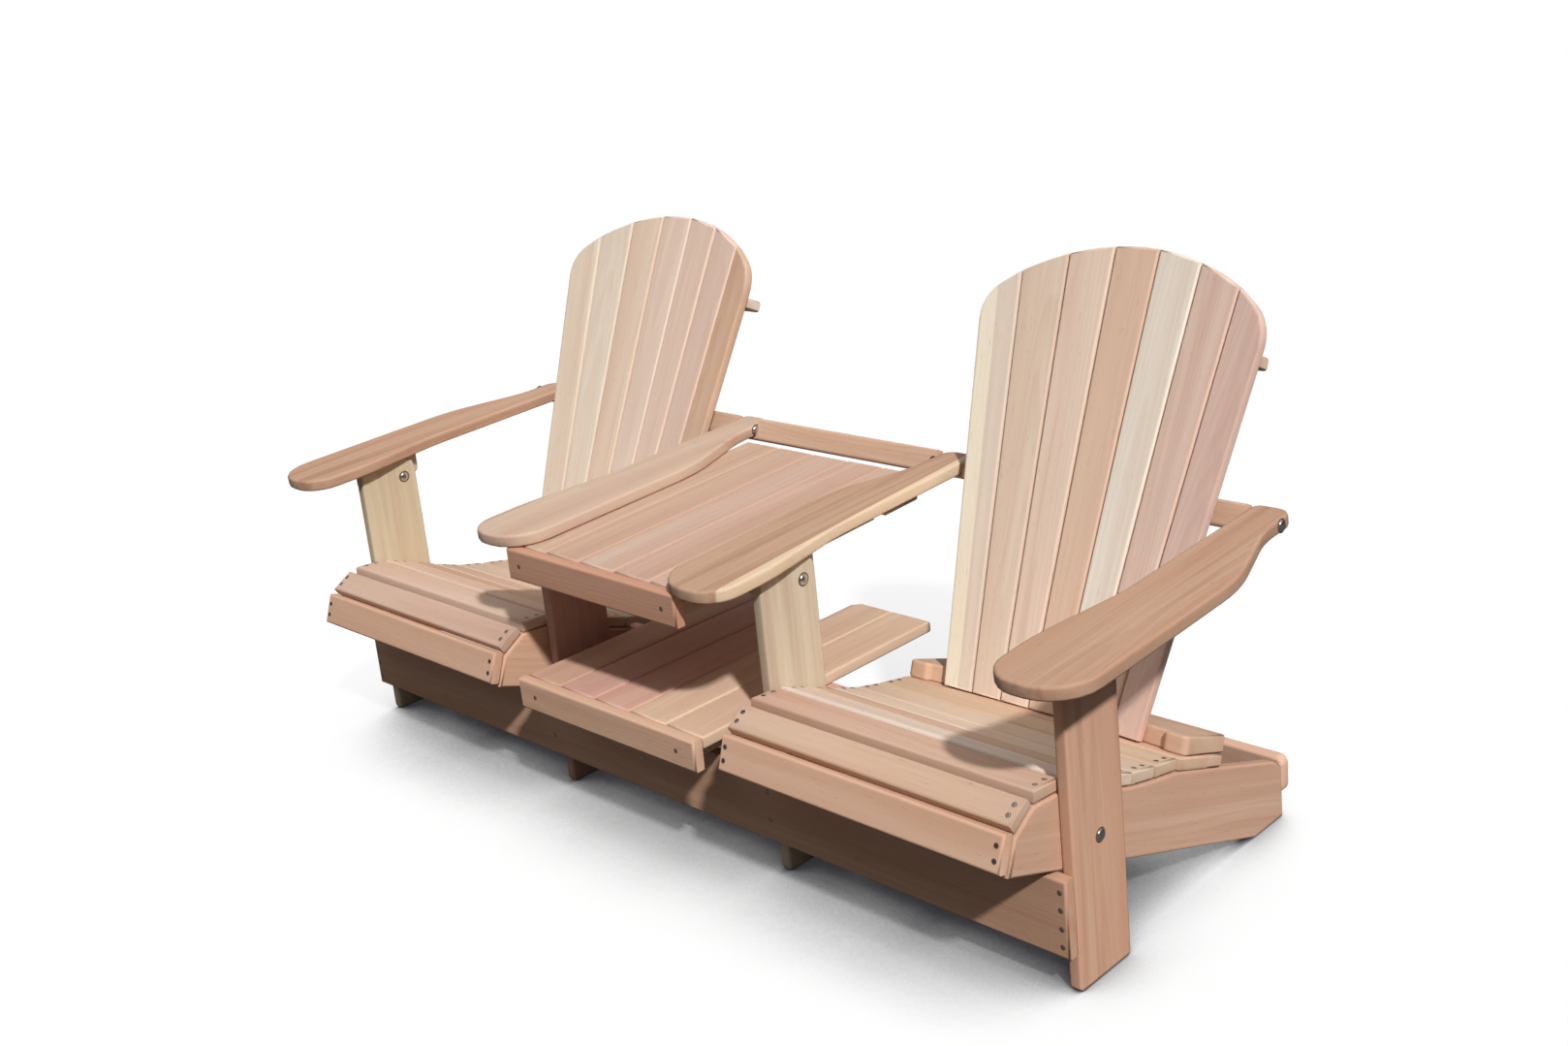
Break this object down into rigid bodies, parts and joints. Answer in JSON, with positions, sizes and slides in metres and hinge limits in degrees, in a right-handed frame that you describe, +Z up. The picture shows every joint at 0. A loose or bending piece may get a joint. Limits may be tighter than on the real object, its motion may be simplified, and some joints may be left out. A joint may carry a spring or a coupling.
{
  "type": "adirondack loveseat",
  "caption": "Outdoor adirondack loveseat of cedar boards: twin fan-backed seats with flat arms, joined by a table top and a low shelf.",
  "frame": {"origin": "on the floor, below the middle of the whole box", "axes": "+X to the right as seen from the front, +Y to the rear, +Z up"},
  "size_m": [2.116, 0.8674, 1.0009],
  "materials": {
    "cedar": "unfinished, sanded, straight fine grain",
    "stainless": "satin"
  },
  "bodies": {
    "root": {"front_apron": "cedar", "left_outer_leg": "cedar", "left_inner_leg": "cedar", "left_outer_side_rail": "cedar", "left_inner_side_rail": "cedar", "left_seat_slat_1": "cedar", "left_seat_slat_2": "cedar", "left_seat_slat_3": "cedar", "left_seat_slat_4": "cedar", "left_seat_slat_5": "cedar", "left_seat_slat_6": "cedar", "left_seat_slat_7": "cedar", "left_seat_slat_8": "cedar", "left_back_foot_block": "cedar", "left_back_slat_1": "cedar", "left_back_slat_2": "cedar", "left_back_slat_3": "cedar", "left_back_slat_4": "cedar", "left_back_slat_5": "cedar", "left_back_slat_6": "cedar", "left_back_slat_7": "cedar", "left_outer_arm": "cedar", "left_inner_arm": "cedar", "left_rear_stretcher": "cedar", "right_outer_leg": "cedar", "right_inner_leg": "cedar", "right_outer_side_rail": "cedar", "right_inner_side_rail": "cedar", "right_seat_slat_1": "cedar", "right_seat_slat_2": "cedar", "right_seat_slat_3": "cedar", "right_seat_slat_4": "cedar", "right_seat_slat_5": "cedar", "right_seat_slat_6": "cedar", "right_seat_slat_7": "cedar", "right_seat_slat_8": "cedar", "right_back_foot_block": "cedar", "right_back_slat_1": "cedar", "right_back_slat_2": "cedar", "right_back_slat_3": "cedar", "right_back_slat_4": "cedar", "right_back_slat_5": "cedar", "right_back_slat_6": "cedar", "right_back_slat_7": "cedar", "right_outer_arm": "cedar", "right_inner_arm": "cedar", "right_rear_stretcher": "cedar", "arm_rail": "cedar", "table_board_1": "cedar", "table_board_2": "cedar", "table_board_3": "cedar", "table_board_4": "cedar", "table_board_5": "cedar", "table_front_board": "cedar", "shelf_board_1": "cedar", "shelf_board_2": "cedar", "shelf_board_3": "cedar", "shelf_board_4": "cedar", "shelf_board_5": "cedar", "shelf_front_board": "cedar"}
  },
  "joints": []
}
